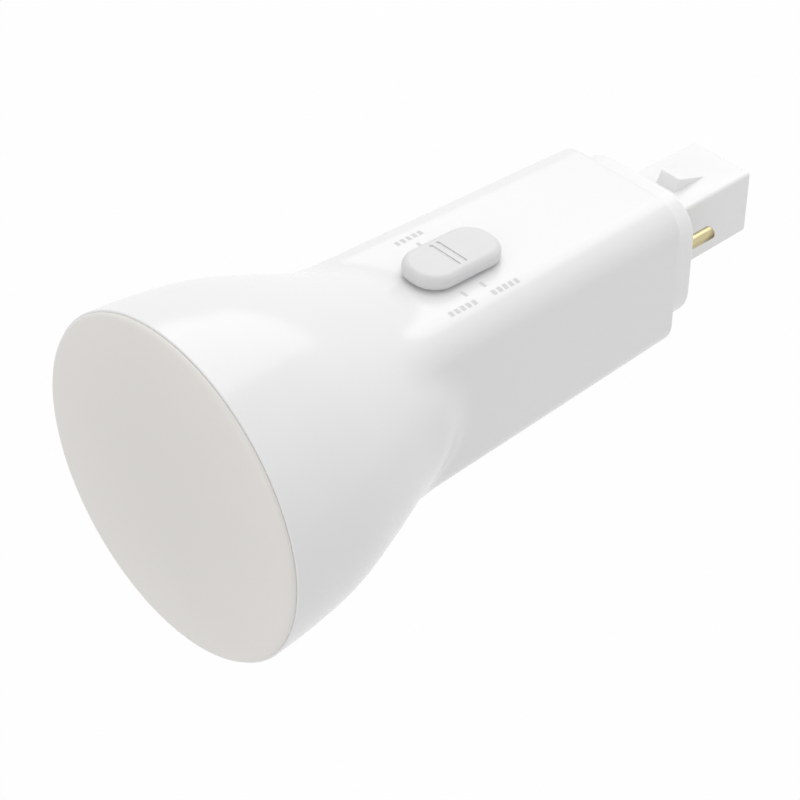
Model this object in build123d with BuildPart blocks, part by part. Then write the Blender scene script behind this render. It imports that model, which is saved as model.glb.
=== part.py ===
from build123d import *
import math
import os

os.makedirs("parts", exist_ok=True)

# An LED lamp that plugs into a two-pin holder. Millimetres.
# The origin is the centre of the seating face of the base, Y runs into the
# holder, the light leaves towards -Y and the colour selector is on the +Z side.

# Housing: a round horn that turns into a rounded-square sleeve
rim_radius = 31.0
rim_y = -106.0
horn_length = 51.5
# Radius along the horn as shares of the rim radius, at shares of its length
horn_shares = (1.0, 0.974, 0.924, 0.828, 0.714, 0.618, 0.452)
horn_steps = (0.0, 0.171, 0.342, 0.513, 0.684, 0.835, 1.0)
neck_fillet = 12.0
sleeve_start_y = -82.0
sleeve_end_y = -5.7
sleeve_start_half = 17.1
sleeve_end_half = 15.2
corner_radius = 5.8
wall = 1.3
horn_wall = 1.4
hollow_start_y = -72.0
rim_edge = 0.35
end_edge = 0.4

# Diffuser
diffuser_inset = 0.35
diffuser_thickness = 1.3
diffuser_edge = 0.85
diffuser_seam = 0.25
skirt_depth = 2.8
skirt_clearance = 0.15
skirt_wall = 1.3

# Light engine
plate_depth = 17.4
plate_thickness = 1.5
plate_gap = 0.5
plate_rim = 4.0
cup_radius = 13.0
cup_depth = 12.0
cup_wall = 1.4
board_gap = 0.9
board_thickness = 1.6
wire_hole_radius = 2.6
screw_count = 4
screw_inset = 4.2
screw_radius = 1.5
screw_head_radius = 2.7
screw_head_height = 1.6
screw_length = 9.0
screw_play = 0.2
boss_radius = 2.8
boss_cover = 0.3
led_width = 2.8
led_length = 3.5
led_height = 0.75
led_gap = 0.5
led_outer_count = 6
led_inner_count = 3
plug_width = 6.0
plug_depth = 3.4
plug_height = 2.6
plug_offset = 4.8

# Base cap with the keyed post
cap_fit = 0.1
cap_corner = 4.4
cap_wall = 1.0
cap_inside = 9.0
cap_shoulder = 1.0
plateau_side_inset = 0.1
plateau_top_inset = 1.0
plateau_corner = 7.2
plateau_wall = 0.8
seat_thickness = 2.4
cap_edge = 0.6
post_width = 14.1
post_height = 13.1
post_length = 22.4
post_draft = 0.3
post_corner = 0.7
post_wall = 1.5
latch_width = 4.4
latch_height = 2.2
latch_start = 7.0
latch_top = 8.2
latch_end = 15.0

# Contact pins
pin_radius = 1.2
pin_inset = 2.4
pin_rise = 2.7
pin_length = 7.2
pin_tip = 0.5
pin_fit = 0.02
pin_shank_radius = 0.95
pin_recess = 0.15
pin_recess_gap = 0.1
pin_head_radius = 1.45
pin_head = 0.9
pin_tail_radius = 0.6
pin_tail = 3.2

# Driver board
card_top = 4.0
card_thickness = 1.6
card_gap = 0.78
card_overhang = 7.8
card_setback = 2.3
rail_depth = 1.1
rail_height = 1.2
rail_play = 0.15
rail_setback = 1.0

# Colour selector
switch_setback = 10.7
switch_x = 1.6
travel = 2.0
knob_length = 18.2
knob_width = 10.5
knob_height = 2.5
knob_gap = 0.5
knob_corner = 4.7
knob_bevel = 0.8
knob_foot = 0.3
groove_width = 0.7
groove_depth = 0.5
groove_length = 7.2
groove_spread = 1.5
groove_shift = -0.85
stem_length = 5.0
stem_width = 4.4
stem_play = 0.3
stem_gap = 1.0
barb_reach = 0.75
barb_height = 0.8
switch_length = 12.7
switch_width = 6.6
switch_height = 5.6
switch_wall = 0.7
toggle_width = 2.0
toggle_length = 2.2
toggle_rise = 3.0
toggle_play = 0.15
shoe_height = 1.6
shoe_length = 4.0

# Driver components
lead = 0.05
part_gap = 1.0
can_edge = 0.6
case_edge = 0.5
coat_edge = 0.8
left_share = 0.52
right_share = 0.4
bulk_radius = 5.0
bulk_length = 17.0
smooth_radius = 4.0
smooth_length = 12.0
core_depth = 6.0
core_width = 13.4
core_height = 10.5
core_leg = 3.6
core_side = 1.8
core_yoke = 2.0
winding_overhang = 2.8
bobbin_play = 0.2
film_length = 10.0
film_width = 5.0
film_height = 9.0
choke_radius = 4.0
choke_height = 9.0
choke_flange = 1.2
fuse_radius = 1.6
fuse_length = 7.0
bridge_size = 6.4
bridge_height = 2.4
chip_length = 5.0
chip_width = 4.0
chip_height = 1.6
varistor_radius = 3.6
varistor_thickness = 3.0
chip_part_length = 2.0
chip_part_width = 1.3
chip_part_height = 0.7
wire_radius = 0.65
wire_landing = 3.0
wire_sweep = 5.0
wire_lift = 1.6
wire_lean = 2.0

draft_slope = (sleeve_start_half - sleeve_end_half) / (sleeve_end_y - sleeve_start_y)
draft_angle = math.degrees(math.atan(draft_slope))
plug_plane = Plane(origin=(0, 0, 0), x_dir=(1, 0, 0), z_dir=(0, 1, 0))


def across(y):
    """Plane square to the lamp's axis at y: local X is X, local Y is -Z."""
    return plug_plane.offset(y)


def sleeve_half(y):
    return sleeve_end_half + draft_slope * (sleeve_end_y - y)


def horn_points(inset):
    """Points of the horn's profile, moved in by the inset."""
    steps = zip(horn_shares, horn_steps)
    return [(rim_radius * share - inset, rim_y + horn_length * step) for share, step in steps]


def horn_radius(y):
    """Radius of the horn's skin at y, straight between the points of its profile."""
    points = horn_points(0)
    for (r0, y0), (r1, y1) in zip(points, points[1:]):
        if y <= y1:
            return r0 + (r1 - r0) * (y - y0) / (y1 - y0)
    return points[-1][0]


def horn_y(radius):
    """Place along the lamp where the horn's skin has this radius."""
    points = horn_points(0)
    for (r0, y0), (r1, y1) in zip(points, points[1:]):
        if radius >= r1:
            return y0 + (y1 - y0) * (radius - r0) / (r1 - r0)
    return points[-1][1]


# The light engine fills the horn's hollow, and the bosses end inside its wall
plate_y = rim_y + plate_depth
plate_radius = horn_radius(plate_y) - horn_wall - plate_gap
board_radius = plate_radius - plate_thickness - board_gap
screw_orbit = board_radius - screw_inset
boss_length = horn_y(screw_orbit + boss_radius + boss_cover) - plate_y
led_outer_orbit = screw_orbit - screw_head_radius - led_gap - led_width / 2
led_inner_orbit = plug_offset + plug_depth / 2 + led_gap + led_width / 2
plate_front_y = plate_y - plate_thickness
board_front_y = plate_front_y - board_thickness
cap_half = sleeve_end_half - wall - cap_fit
cap_back_y = sleeve_end_y - cap_inside
plateau_width = 2 * (cap_half - plateau_side_inset)
plateau_height = 2 * (cap_half - plateau_top_inset)
pin_spacing = plateau_width - 2 * pin_inset
card_bottom = card_top - card_thickness
# The neck is where the flats of the sleeve come out of the horn
neck_y = horn_y((sleeve_start_half + sleeve_end_half) / 2)
switch_y = neck_y + switch_setback
card_front_y = neck_y - card_overhang
card_back_y = cap_back_y - card_setback
card_half = sleeve_half(card_back_y) - wall - card_gap
rail_front_y = neck_y
rail_back_y = card_back_y - rail_setback
face_z = sleeve_half(switch_y)
switch_plane = Plane(
    origin=(switch_x, switch_y, face_z),
    x_dir=(1, 0, 0),
    z_dir=(0, math.sin(math.radians(draft_angle)), math.cos(math.radians(draft_angle))),
)
slot_length = stem_length + 2 * travel + 2 * stem_play
slot_width = stem_width + 2 * stem_play

# Housing: the horn and the sleeve are turned and drawn separately, for skin and hollow
with BuildPart() as horn_skin:
    with BuildSketch(Plane.XY):
        with BuildLine():
            skin_points = horn_points(0)
            Spline(*skin_points)
            Polyline(skin_points[-1], (0, skin_points[-1][1]), (0, rim_y), skin_points[0])
        make_face()
    revolve(axis=Axis.Y)

with BuildPart() as horn_hollow:
    with BuildSketch(Plane.XY):
        with BuildLine():
            hollow_points = horn_points(horn_wall)
            Spline(*hollow_points)
            Polyline(hollow_points[-1], (0, hollow_points[-1][1]), (0, rim_y), hollow_points[0])
        make_face()
    revolve(axis=Axis.Y)

with BuildPart() as sleeve_skin:
    for y in (sleeve_start_y, sleeve_end_y):
        with BuildSketch(across(y)):
            skin = 2 * sleeve_half(y)
            RectangleRounded(skin, skin, corner_radius)
    loft()

with BuildPart() as sleeve_hollow:
    for y in (hollow_start_y, sleeve_end_y):
        with BuildSketch(across(y)):
            hollow = 2 * (sleeve_half(y) - wall)
            RectangleRounded(hollow, hollow, corner_radius - wall)
    loft()

# Housing: one moulding, with a wide fillet where the round turns into the square
with BuildPart() as housing:
    add(horn_skin.part)
    add(sleeve_skin.part)
    horn_end_y = rim_y + horn_length
    neck = [
        edge
        for edge in housing.edges()
        if edge.bounding_box().min.Y > sleeve_start_y and edge.bounding_box().max.Y < horn_end_y
    ]
    fillet(neck, neck_fillet)
    add(horn_hollow.part, mode=Mode.SUBTRACT)
    add(sleeve_hollow.part, mode=Mode.SUBTRACT)
    fillet(housing.faces().sort_by(Axis.Y)[-1].outer_wire().edges(), end_edge)
    fillet(housing.faces().sort_by(Axis.Y)[0].outer_wire().edges(), rim_edge)
    # Bosses that carry the light engine
    with BuildSketch(across(plate_y)):
        with PolarLocations(screw_orbit, screw_count, start_angle=0):
            Circle(boss_radius)
    extrude(amount=boss_length)
    with BuildSketch(across(plate_y)):
        with PolarLocations(screw_orbit, screw_count, start_angle=0):
            Circle(screw_radius + screw_play)
    extrude(amount=screw_length, mode=Mode.SUBTRACT)
    # Rails that hold the driver board by its long edges
    rail_inside = card_half - rail_depth
    rail_outside = sleeve_half(rail_back_y) - wall / 8
    rail_middle = (rail_front_y + rail_back_y) / 2
    rail_run = rail_back_y - rail_front_y
    rail_heights = (
        card_top + rail_play + rail_height / 2,
        card_bottom - rail_play - rail_height / 2,
    )
    for side in (-1, 1):
        for z in rail_heights:
            with Locations((side * (rail_inside + rail_outside) / 2, rail_middle, z)):
                Box(rail_outside - rail_inside, rail_run, rail_height)
    # Slot for the stem of the selector
    with BuildSketch(switch_plane.offset(wall)):
        RectangleRounded(slot_width, slot_length, stem_play)
    extrude(amount=-3 * wall, mode=Mode.SUBTRACT)
housing.part.label = "housing"
export_step(housing.part, "parts/housing.step")

# Diffuser: an opal cap that covers the rim, with a skirt that fits into the horn
skirt_y = rim_y + skirt_depth
skirt_radius = horn_radius(skirt_y) - horn_wall - skirt_clearance
with BuildPart() as diffuser:
    with BuildSketch(across(rim_y - diffuser_thickness)):
        Circle(rim_radius - diffuser_inset)
    extrude(amount=diffuser_thickness)
    fillet(diffuser.edges().group_by(Axis.Y)[0], diffuser_edge)
    fillet(diffuser.edges().group_by(Axis.Y)[-1], diffuser_seam)
    with BuildSketch(across(rim_y)):
        Circle(skirt_radius)
        Circle(skirt_radius - skirt_wall, mode=Mode.SUBTRACT)
    extrude(amount=skirt_depth)
diffuser.part.label = "diffuser"
export_step(diffuser.part, "parts/diffuser.step")

# Heat spreader: a pressed aluminium dish with a cup behind it
with BuildPart() as heat_spreader:
    with BuildSketch(across(plate_front_y - plate_rim)):
        Circle(plate_radius)
    extrude(amount=plate_rim + plate_thickness)
    with BuildSketch(across(plate_front_y - plate_rim)):
        Circle(plate_radius - plate_thickness)
    extrude(amount=plate_rim, mode=Mode.SUBTRACT)
    with BuildSketch(across(plate_y)):
        Circle(cup_radius)
        Circle(cup_radius - cup_wall, mode=Mode.SUBTRACT)
    extrude(amount=cup_depth)
    with BuildSketch(across(plate_front_y)):
        Circle(wire_hole_radius)
        with PolarLocations(screw_orbit, screw_count, start_angle=0):
            Circle(screw_radius + screw_play)
    extrude(amount=plate_thickness, mode=Mode.SUBTRACT)
heat_spreader.part.label = "heat_spreader"
export_step(heat_spreader.part, "parts/heat_spreader.step")

# LED board: metal-core disc
with BuildPart() as led_board:
    with BuildSketch(across(board_front_y)):
        Circle(board_radius)
        Circle(wire_hole_radius, mode=Mode.SUBTRACT)
        with PolarLocations(screw_orbit, screw_count, start_angle=0):
            Circle(screw_radius + screw_play, mode=Mode.SUBTRACT)
    extrude(amount=board_thickness)
led_board.part.label = "led_board"
export_step(led_board.part, "parts/led_board.step")

# LED packages, one string for each end of the colour range
led_turn = 180 / led_outer_count
inner_turn = 180 / led_inner_count
for string, outer_start, inner_start in (
    ("leds_warm", 0, 30),
    ("leds_cool", led_turn, 30 + inner_turn),
):
    with BuildPart() as leds:
        with BuildSketch(across(board_front_y)):
            with PolarLocations(led_outer_orbit, led_outer_count, start_angle=outer_start):
                Rectangle(led_width, led_length)
            with PolarLocations(led_inner_orbit, led_inner_count, start_angle=inner_start):
                Rectangle(led_width, led_length)
        extrude(amount=-led_height)
    leds.part.label = string
    export_step(leds.part, f"parts/{string}.step")

# Screws that hold the light engine
with BuildPart() as board_screws:
    with BuildSketch(across(board_front_y)):
        with PolarLocations(screw_orbit, screw_count, start_angle=0):
            Circle(screw_head_radius)
    extrude(amount=-screw_head_height)
    fillet(board_screws.edges().group_by(Axis.Y)[0], screw_head_height / 3)
    with BuildSketch(across(board_front_y)):
        with PolarLocations(screw_orbit, screw_count, start_angle=0):
            Circle(screw_radius)
    extrude(amount=screw_length)
    with BuildSketch(across(board_front_y - screw_head_height)):
        with PolarLocations(screw_orbit, screw_count, start_angle=0):
            Rectangle(screw_radius * 2, screw_radius / 3)
            Rectangle(screw_radius / 3, screw_radius * 2)
    extrude(amount=screw_head_height / 2, mode=Mode.SUBTRACT)
board_screws.part.label = "board_screws"
export_step(board_screws.part, "parts/board_screws.step")

# Plug on the LED board
with BuildPart() as led_plug:
    with BuildSketch(across(board_front_y)):
        with Locations((0, -plug_offset)):
            Rectangle(plug_width, plug_depth)
    extrude(amount=-plug_height)
    with BuildSketch(Plane.XY.offset(plug_offset - plug_depth / 2)):
        with GridLocations(plug_width / 3, 0, 3, 1):
            with Locations((0, board_front_y - plug_height / 2)):
                Circle(wire_radius + lead)
    extrude(amount=plug_depth / 2, mode=Mode.SUBTRACT)
led_plug.part.label = "led_plug"
export_step(led_plug.part, "parts/led_plug.step")

# Base cap: spigot flush with the sleeve's end, plateau, hollow keyed post and latches
with BuildPart() as base_cap:
    with BuildSketch(across(cap_back_y)):
        RectangleRounded(2 * cap_half, 2 * cap_half, cap_corner)
    extrude(amount=cap_inside)
    with BuildSketch(across(sleeve_end_y)):
        RectangleRounded(plateau_width, plateau_height, plateau_corner)
    extrude(amount=-sleeve_end_y)
    fillet(base_cap.faces().sort_by(Axis.Y)[-1].edges(), cap_edge)
    with BuildSketch(across(cap_back_y)):
        cap_hollow = 2 * (cap_half - cap_wall)
        RectangleRounded(cap_hollow, cap_hollow, cap_corner - cap_wall)
    extrude(amount=cap_inside - cap_shoulder, mode=Mode.SUBTRACT)
    with BuildSketch(across(sleeve_end_y - cap_shoulder)):
        RectangleRounded(
            plateau_width - 2 * plateau_wall,
            plateau_height - 2 * plateau_wall,
            plateau_corner - plateau_wall,
        )
    extrude(amount=cap_shoulder - sleeve_end_y - seat_thickness, mode=Mode.SUBTRACT)
    with BuildSketch(across(-seat_thickness)):
        RectangleRounded(post_width, post_height, post_corner)
    extrude(amount=seat_thickness)
    with BuildSketch(across(0)):
        RectangleRounded(post_width, post_height, post_corner)
    with BuildSketch(across(post_length)):
        RectangleRounded(post_width - post_draft, post_height - post_draft, post_corner)
    loft()
    fillet(base_cap.faces().sort_by(Axis.Y)[-1].edges(), cap_edge)
    with BuildSketch(across(-seat_thickness)):
        hollow_width = post_width - post_draft - 2 * post_wall
        hollow_height = post_height - post_draft - 2 * post_wall
        Rectangle(hollow_width, hollow_height)
    extrude(amount=seat_thickness + post_length - post_wall, mode=Mode.SUBTRACT)
    latch_foot = (post_height - post_draft) / 2 - post_wall / 2
    latch_crest = post_height / 2 + latch_height
    for side in (-1, 1):
        with BuildSketch(Plane.YZ):
            with BuildLine():
                Polyline(
                    (latch_start, side * latch_foot),
                    (latch_start, side * post_height / 2),
                    (latch_top, side * latch_crest),
                    (latch_end, side * (post_height / 2 - post_draft / 2)),
                    (latch_end, side * latch_foot),
                    close=True,
                )
            make_face()
        extrude(amount=latch_width / 2, both=True)
    with BuildSketch(across(0)):
        with Locations((0, -pin_rise)):
            with GridLocations(pin_spacing, 0, 2, 1):
                Circle(pin_shank_radius + pin_fit)
    extrude(amount=-seat_thickness, mode=Mode.SUBTRACT)
    # Each pin stands in a shallow recess of the seating face
    with BuildSketch(across(0)):
        with Locations((0, -pin_rise)):
            with GridLocations(pin_spacing, 0, 2, 1):
                Circle(pin_radius + pin_recess_gap)
    extrude(amount=-pin_recess, mode=Mode.SUBTRACT)
base_cap.part.label = "base_cap"
export_step(base_cap.part, "parts/base_cap.step")

# Contact pins, each with a shank in the seat, a head behind it and a solder tail
for name, side in (("pin_near", 1), ("pin_far", -1)):
    with BuildPart() as pin:
        foot = (side * pin_spacing / 2, -pin_rise)
        with BuildSketch(across(-pin_recess)):
            with Locations(foot):
                Circle(pin_radius)
        extrude(amount=pin_recess + pin_length)
        fillet(pin.faces().sort_by(Axis.Y)[-1].edges(), pin_tip)
        with BuildSketch(across(-seat_thickness)):
            with Locations(foot):
                Circle(pin_shank_radius)
        extrude(amount=seat_thickness - pin_recess)
        with BuildSketch(across(-seat_thickness)):
            with Locations(foot):
                Circle(pin_head_radius)
        extrude(amount=-pin_head)
        with BuildSketch(across(-seat_thickness - pin_head)):
            with Locations(foot):
                Circle(pin_tail_radius)
        extrude(amount=-pin_tail)
    pin.part.label = name
    export_step(pin.part, f"parts/{name}.step")

# Driver board
card_run = card_back_y - card_front_y
card_middle = (card_back_y + card_front_y) / 2
with BuildPart() as driver_board:
    with Locations((0, card_middle, card_bottom + card_thickness / 2)):
        Box(2 * card_half, card_run, card_thickness)
driver_board.part.label = "driver_board"
export_step(driver_board.part, "parts/driver_board.step")


# Driver components hang below the board in two lanes, one behind the other from its rear edge
left_lane = -card_half * left_share
right_lane = card_half * right_share
choke_y = card_back_y - part_gap - choke_radius
bulk_y = choke_y - choke_radius - part_gap - bulk_length / 2
varistor_y = bulk_y - bulk_length / 2 - part_gap - varistor_thickness / 2
fuse_y = varistor_y - varistor_thickness / 2 - part_gap - fuse_radius
film_y = card_back_y - part_gap - film_width / 2
core_y = film_y - film_width / 2 - part_gap - winding_overhang - core_depth / 2
smooth_y = core_y - core_depth / 2 - winding_overhang - part_gap - smooth_length / 2
bridge_y = card_back_y - wire_landing - 2 * part_gap - bridge_size / 2
chip_y = bridge_y - bridge_size / 2 - part_gap
chip_lane = (switch_width / 2 + card_half) / 2
under = Plane(origin=(0, 0, card_bottom - lead), x_dir=(1, 0, 0), z_dir=(0, 0, -1))

with BuildPart() as bulk_capacitor:
    bulk_centre = (left_lane, bulk_y, card_bottom - lead - bulk_radius)
    with Locations(Location(bulk_centre, (90, 0, 0))):
        Cylinder(bulk_radius, bulk_length)
    fillet(bulk_capacitor.edges(), can_edge)
bulk_capacitor.part.label = "bulk_capacitor"
export_step(bulk_capacitor.part, "parts/bulk_capacitor.step")

with BuildPart() as output_capacitor:
    smooth_centre = (right_lane, smooth_y, card_bottom - lead - smooth_radius)
    with Locations(Location(smooth_centre, (90, 0, 0))):
        Cylinder(smooth_radius, smooth_length)
    fillet(output_capacitor.edges(), can_edge)
output_capacitor.part.label = "output_capacitor"
export_step(output_capacitor.part, "parts/output_capacitor.step")

core_middle = card_bottom - lead - core_height / 2
window_width = (core_width - core_leg) / 2 - core_side
window_height = core_height - 2 * core_yoke
with BuildPart() as transformer_core:
    with BuildSketch(Plane.XZ.offset(-core_y)):
        with Locations((right_lane, core_middle)):
            Rectangle(core_width, core_height)
            with GridLocations(core_leg + window_width, 0, 2, 1):
                Rectangle(window_width, window_height, mode=Mode.SUBTRACT)
    extrude(amount=core_depth / 2, both=True)
transformer_core.part.label = "transformer_core"
export_step(transformer_core.part, "parts/transformer_core.step")

with BuildPart() as transformer_winding:
    with BuildSketch(Plane.XY.offset(core_middle)):
        with Locations((right_lane, core_y)):
            winding_width = core_leg + 2 * (window_width - bobbin_play)
            RectangleRounded(winding_width, core_depth + 2 * winding_overhang, winding_overhang)
            Rectangle(core_leg + 2 * bobbin_play, core_depth + 2 * bobbin_play, mode=Mode.SUBTRACT)
    extrude(amount=window_height / 2 - bobbin_play, both=True)
transformer_winding.part.label = "transformer_winding"
export_step(transformer_winding.part, "parts/transformer_winding.step")

with BuildPart() as film_capacitor:
    with Locations((right_lane, film_y, card_bottom - lead - film_height / 2)):
        Box(film_length, film_width, film_height)
    fillet(film_capacitor.edges(), case_edge)
film_capacitor.part.label = "film_capacitor"
export_step(film_capacitor.part, "parts/film_capacitor.step")

with BuildPart() as input_choke:
    with BuildSketch(under):
        with Locations((left_lane, -choke_y)):
            Circle(choke_radius)
    extrude(amount=choke_height)
    with BuildSketch(under.offset(choke_flange)):
        with Locations((left_lane, -choke_y)):
            Circle(choke_radius)
            Circle(choke_radius - choke_flange, mode=Mode.SUBTRACT)
    extrude(amount=choke_height - 2 * choke_flange, mode=Mode.SUBTRACT)
input_choke.part.label = "input_choke"
export_step(input_choke.part, "parts/input_choke.step")

with BuildPart() as fuse_resistor:
    fuse_centre = (left_lane, fuse_y, card_bottom - lead - fuse_radius)
    with Locations(Location(fuse_centre, (0, 90, 0))):
        Cylinder(fuse_radius, fuse_length)
    fillet(fuse_resistor.edges(), case_edge)
fuse_resistor.part.label = "fuse_resistor"
export_step(fuse_resistor.part, "parts/fuse_resistor.step")

with BuildPart() as varistor:
    with BuildSketch(Plane.XZ.offset(-varistor_y)):
        with Locations((left_lane, card_bottom - lead - varistor_radius)):
            Circle(varistor_radius)
    extrude(amount=varistor_thickness / 2, both=True)
    fillet(varistor.edges(), coat_edge)
varistor.part.label = "varistor"
export_step(varistor.part, "parts/varistor.step")

with BuildPart() as bridge_rectifier:
    with Locations((chip_lane, bridge_y, card_top + lead + bridge_height / 2)):
        Box(bridge_size, bridge_size, bridge_height)
    chamfer(bridge_rectifier.edges().filter_by(Axis.Z), case_edge)
bridge_rectifier.part.label = "bridge_rectifier"
export_step(bridge_rectifier.part, "parts/bridge_rectifier.step")

with BuildPart() as driver_chip:
    with Locations((-chip_lane, chip_y, card_top + lead + chip_height / 2)):
        Box(chip_width, chip_length, chip_height)
    with Locations((-chip_lane, chip_y, card_top + lead + chip_height / 4)):
        with GridLocations(0, chip_length / 4, 1, 4):
            Box(chip_width * 1.5, chip_length / 10, chip_height / 4)
driver_chip.part.label = "driver_chip"
export_step(driver_chip.part, "parts/driver_chip.step")

with BuildPart() as chip_parts:
    with Locations((chip_lane, switch_y, card_top + lead + chip_part_height / 2)):
        with GridLocations(chip_part_length * 1.8, chip_part_width * 2.2, 2, 5):
            Box(chip_part_length, chip_part_width, chip_part_height)
    with Locations((-chip_lane, switch_y, card_top + lead + chip_part_height / 2)):
        with GridLocations(chip_part_length * 1.8, chip_part_width * 2.2, 2, 4):
            Box(chip_part_length, chip_part_width, chip_part_height)
chip_parts.part.label = "chip_parts"
export_step(chip_parts.part, "parts/chip_parts.step")

# Slide switch on the board, its toggle and the knob that drives it
switch_base = card_top + lead
switch_top = switch_base + switch_height
with BuildPart() as switch_body:
    with Locations((switch_x, switch_y, switch_base + switch_height / 2)):
        Box(switch_width, switch_length, switch_height)
    inside_height = switch_height - 2 * switch_wall
    with Locations((switch_x, switch_y, switch_base + switch_height / 2)):
        Box(switch_width - 2 * switch_wall, switch_length - 2 * switch_wall, inside_height,
            mode=Mode.SUBTRACT)
    with Locations((switch_x, switch_y, switch_top - switch_wall / 2)):
        Box(toggle_width + 4 * toggle_play, toggle_length + 2 * travel + 4 * toggle_play,
            switch_wall, mode=Mode.SUBTRACT)
switch_body.part.label = "switch_body"
export_step(switch_body.part, "parts/switch_body.step")

stem_reach = face_z - switch_top - stem_gap
toggle_top = switch_top + toggle_rise
shoe_top = switch_top - switch_wall - 2 * toggle_play
with BuildPart() as switch_toggle:
    with Locations((switch_x, switch_y, shoe_top - shoe_height / 2)):
        Box(switch_width - 2 * switch_wall - 4 * toggle_play, shoe_length, shoe_height)
    with Locations((switch_x, switch_y, (shoe_top - shoe_height + toggle_top) / 2)):
        Box(toggle_width, toggle_length, toggle_top - shoe_top + shoe_height)
switch_toggle.part.label = "switch_toggle"
export_step(switch_toggle.part, "parts/switch_toggle.step")

with BuildPart() as selector_knob:
    with BuildSketch(switch_plane.offset(knob_gap)):
        RectangleRounded(knob_width, knob_length, knob_corner)
    extrude(amount=knob_height)
    chamfer(selector_knob.faces().sort_by(Axis.Z)[-1].edges(), knob_bevel)
    chamfer(selector_knob.faces().sort_by(Axis.Z)[0].edges(), knob_foot)
    with BuildSketch(switch_plane.offset(knob_gap + knob_height)):
        with Locations((0, groove_shift)):
            with GridLocations(0, groove_spread, 1, 2):
                SlotOverall(groove_length, groove_width)
    extrude(amount=-groove_depth, mode=Mode.SUBTRACT)
    with BuildSketch(switch_plane.offset(knob_gap)):
        RectangleRounded(stem_width, stem_length, stem_play)
    extrude(amount=-knob_gap - stem_reach)
    with BuildSketch(switch_plane.offset(-wall - stem_play)):
        Rectangle(stem_width + 2 * barb_reach, stem_length / 2)
    extrude(amount=-barb_height)
    with BuildSketch(switch_plane.offset(-stem_reach)):
        Rectangle(toggle_width + 2 * toggle_play, toggle_length + 2 * toggle_play)
    extrude(amount=toggle_top - switch_top, mode=Mode.SUBTRACT)
selector_knob.part.label = "selector_knob"
export_step(selector_knob.part, "parts/selector_knob.step")

# Wires from the pins to the board and from the board to the LED plug
tail_y = -seat_thickness - pin_head - pin_tail - lead
wire_level = card_top + wire_radius + lead
with BuildPart() as input_wires:
    for side in (-1, 1):
        with BuildLine():
            Spline(
                (side * pin_spacing / 2, tail_y, pin_rise),
                (side * (pin_spacing - wire_lean / 2) / 2, tail_y - wire_sweep, card_top + wire_lift),
                (side * (pin_spacing / 2 - wire_lean), card_back_y - wire_landing, wire_level),
                tangents=((0, -1, 0), (0, -1, -0.4)),
            )
        with BuildSketch(across(tail_y)):
            with Locations((side * pin_spacing / 2, -pin_rise)):
                Circle(wire_radius)
        sweep()
input_wires.part.label = "input_wires"
export_step(input_wires.part, "parts/input_wires.step")

wire_pitch = plug_width / 3
wire_start_y = card_front_y + wire_landing
plug_y = board_front_y - plug_height / 2
plug_mouth = plug_offset - plug_depth / 2
with BuildPart() as output_wires:
    for index in (-1, 0, 1):
        bunch = index * wire_radius * 2.45
        with BuildLine():
            Spline(
                (index * wire_pitch, wire_start_y, wire_level),
                (index * wire_pitch, card_front_y - 2 * wire_sweep, card_top + wire_lift),
                (bunch, plate_y + wire_landing, 0),
                (bunch, board_front_y, wire_radius / 2),
                (index * wire_pitch, plug_y, plug_mouth + wire_radius),
                tangents=((0, -1, 0), (0, 0, 1)),
            )
        with BuildSketch(across(wire_start_y)):
            with Locations((index * wire_pitch, -wire_level)):
                Circle(wire_radius)
        sweep()
output_wires.part.label = "output_wires"
export_step(output_wires.part, "parts/output_wires.step")
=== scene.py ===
"""Dresses a packed LED plug-in lamp: skins, printed marks, finishes and a white stage.

Laid out as an add-on and run as a script. All sizes are metres in the frame of
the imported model: Y runs into the holder and the selector is on the +Z side.
"""

import math

import bmesh
import bpy
from bpy.props import FloatProperty, FloatVectorProperty, IntProperty, PointerProperty
from mathutils import Matrix, Quaternion, Vector


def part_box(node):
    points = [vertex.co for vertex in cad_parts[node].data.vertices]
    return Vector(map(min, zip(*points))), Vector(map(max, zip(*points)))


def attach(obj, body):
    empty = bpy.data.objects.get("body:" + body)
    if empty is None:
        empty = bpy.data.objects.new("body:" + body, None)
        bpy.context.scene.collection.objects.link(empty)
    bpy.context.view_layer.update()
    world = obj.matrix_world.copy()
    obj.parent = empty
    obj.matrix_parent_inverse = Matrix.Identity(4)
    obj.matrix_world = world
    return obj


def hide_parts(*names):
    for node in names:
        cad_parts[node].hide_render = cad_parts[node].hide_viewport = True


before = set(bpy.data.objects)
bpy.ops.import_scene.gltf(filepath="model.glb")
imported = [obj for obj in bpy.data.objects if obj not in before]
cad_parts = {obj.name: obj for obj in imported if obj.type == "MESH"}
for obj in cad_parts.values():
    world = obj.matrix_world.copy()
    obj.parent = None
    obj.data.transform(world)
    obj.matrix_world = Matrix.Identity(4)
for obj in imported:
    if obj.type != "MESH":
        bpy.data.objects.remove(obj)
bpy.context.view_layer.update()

bl_info = {
    "name": "Plug-in Lamp",
    "version": (1, 0, 0),
    "blender": (4, 5, 0),
    "location": "View3D > Sidebar > Lamp",
    "description": "Dresses a plug-in lamp with its skins, marks, finishes and stage",
    "category": "Object",
}

HOUSING_LOW, HOUSING_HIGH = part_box("housing")
DIFFUSER_LOW, DIFFUSER_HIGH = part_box("diffuser")
KNOB_MIDDLE = sum(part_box("selector_knob"), Vector()) / 2

# Radius along the horn as shares of the rim radius, at shares of its length
HORN_CURVE = (
    (0.0, 1.0), (0.171, 0.974), (0.342, 0.924), (0.513, 0.828),
    (0.684, 0.714), (0.835, 0.618), (1.0, 0.452),
)
SKIN_SIDES, SKIN_ROWS, INNER_ROWS, EDGE_STEPS = 256, 190, 74, 6
DIFFUSER_SIDES, CROWN_STEPS, SHOULDER_STEPS, SEAM_STEPS = 224, 24, 16, 4

# Radius over which a painted highlight makes the opal paler towards its edge
OPAL_REACH = 0.03

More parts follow.
